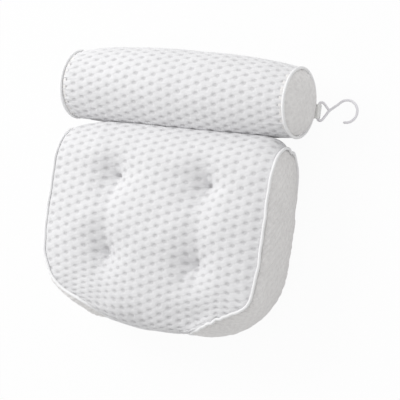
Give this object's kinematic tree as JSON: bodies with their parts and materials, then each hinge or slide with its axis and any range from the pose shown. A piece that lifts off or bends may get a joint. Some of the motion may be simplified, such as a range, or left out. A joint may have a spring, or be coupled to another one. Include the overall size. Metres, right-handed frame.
{
  "type": "bath pillow",
  "caption": "Bath pillow: a round neck roll joined by a folding flap to a tufted back cushion, with suction cups behind and a wire hook at the roll's end.",
  "frame": {"origin": "centre of the bounding box in plan, in the plane of the suction cups' rims", "axes": "+X along the neck roll towards the hook's end, +Y from the cushion to the roll, +Z out of the cushion's front"},
  "size_m": [0.435, 0.4038, 0.1373],
  "materials": {
    "mesh_fabric": "white air mesh with a lattice of dots",
    "plain_fabric": "plain off-white weave",
    "piping": "white piping",
    "filling": null,
    "thread": "white thread",
    "webbing": "ribbed white webbing",
    "hook_plastic": "smooth white coated wire",
    "eyelet_plastic": "white moulded",
    "cup_plastic": "clear soft vinyl"
  },
  "bodies": {
    "cushion": {"front_cover": "mesh_fabric", "back_panel": "plain_fabric", "cushion_core": "filling", "cushion_flap": "plain_fabric", "side_panel_left": "plain_fabric", "side_panel_right": "plain_fabric", "side_piping_left": "piping", "side_piping_right": "piping", "tuft_stitch_upper_left": "thread", "tuft_stitch_upper_right": "thread", "tuft_stitch_lower_left": "thread", "tuft_stitch_lower_right": "thread", "eyelet_upper_left": "eyelet_plastic", "eyelet_upper_right": "eyelet_plastic", "eyelet_lower_left": "eyelet_plastic", "eyelet_lower_right": "eyelet_plastic"},
    "neck_roll": {"roll_cover": "mesh_fabric", "roll_core": "filling", "roll_flap": "plain_fabric", "hook_tab": "webbing", "roll_end_panel_left": "plain_fabric", "roll_end_panel_right": "plain_fabric", "roll_piping_left": "piping", "roll_piping_right": "piping", "eyelet_roll_left": "eyelet_plastic", "eyelet_roll_right": "eyelet_plastic"},
    "hook": {"hook": "hook_plastic"},
    "cup_upper_left": {"suction_cup_upper_left": "cup_plastic"},
    "cup_upper_right": {"suction_cup_upper_right": "cup_plastic"},
    "cup_lower_left": {"suction_cup_lower_left": "cup_plastic"},
    "cup_lower_right": {"suction_cup_lower_right": "cup_plastic"},
    "cup_roll_left": {"suction_cup_roll_left": "cup_plastic"},
    "cup_roll_right": {"suction_cup_roll_right": "cup_plastic"}
  },
  "joints": [
    {"name": "roll_fold", "type": "hinge", "parent": "cushion", "child": "neck_roll", "pos_m": [-0.02535, 0.0786, 0.01985], "axis": [1, 0, 0], "range_deg": [-120, 0]},
    {"name": "hook_swing", "type": "hinge", "parent": "neck_roll", "child": "hook", "pos_m": [0.15715, 0.1377, 0.0142], "axis": [0, 1, 0], "range_deg": [-55, 90]},
    {"name": "cup_upper_left_turn", "type": "hinge", "parent": "cushion", "child": "cup_upper_left", "pos_m": [-0.13035, -0.0264, 0.0064], "axis": [0, 0, 1], "continuous": true},
    {"name": "cup_upper_right_turn", "type": "hinge", "parent": "cushion", "child": "cup_upper_right", "pos_m": [0.07965, -0.0264, 0.0064], "axis": [0, 0, 1], "continuous": true},
    {"name": "cup_lower_left_turn", "type": "hinge", "parent": "cushion", "child": "cup_lower_left", "pos_m": [-0.11735, -0.0964, 0.0064], "axis": [0, 0, 1], "continuous": true},
    {"name": "cup_lower_right_turn", "type": "hinge", "parent": "cushion", "child": "cup_lower_right", "pos_m": [0.06665, -0.0964, 0.0064], "axis": [0, 0, 1], "continuous": true},
    {"name": "cup_roll_left_turn", "type": "hinge", "parent": "neck_roll", "child": "cup_roll_left", "pos_m": [-0.14735, 0.1431, 0.0064], "axis": [0, 0, 1], "continuous": true},
    {"name": "cup_roll_right_turn", "type": "hinge", "parent": "neck_roll", "child": "cup_roll_right", "pos_m": [0.09665, 0.1431, 0.0064], "axis": [0, 0, 1], "continuous": true}
  ]
}
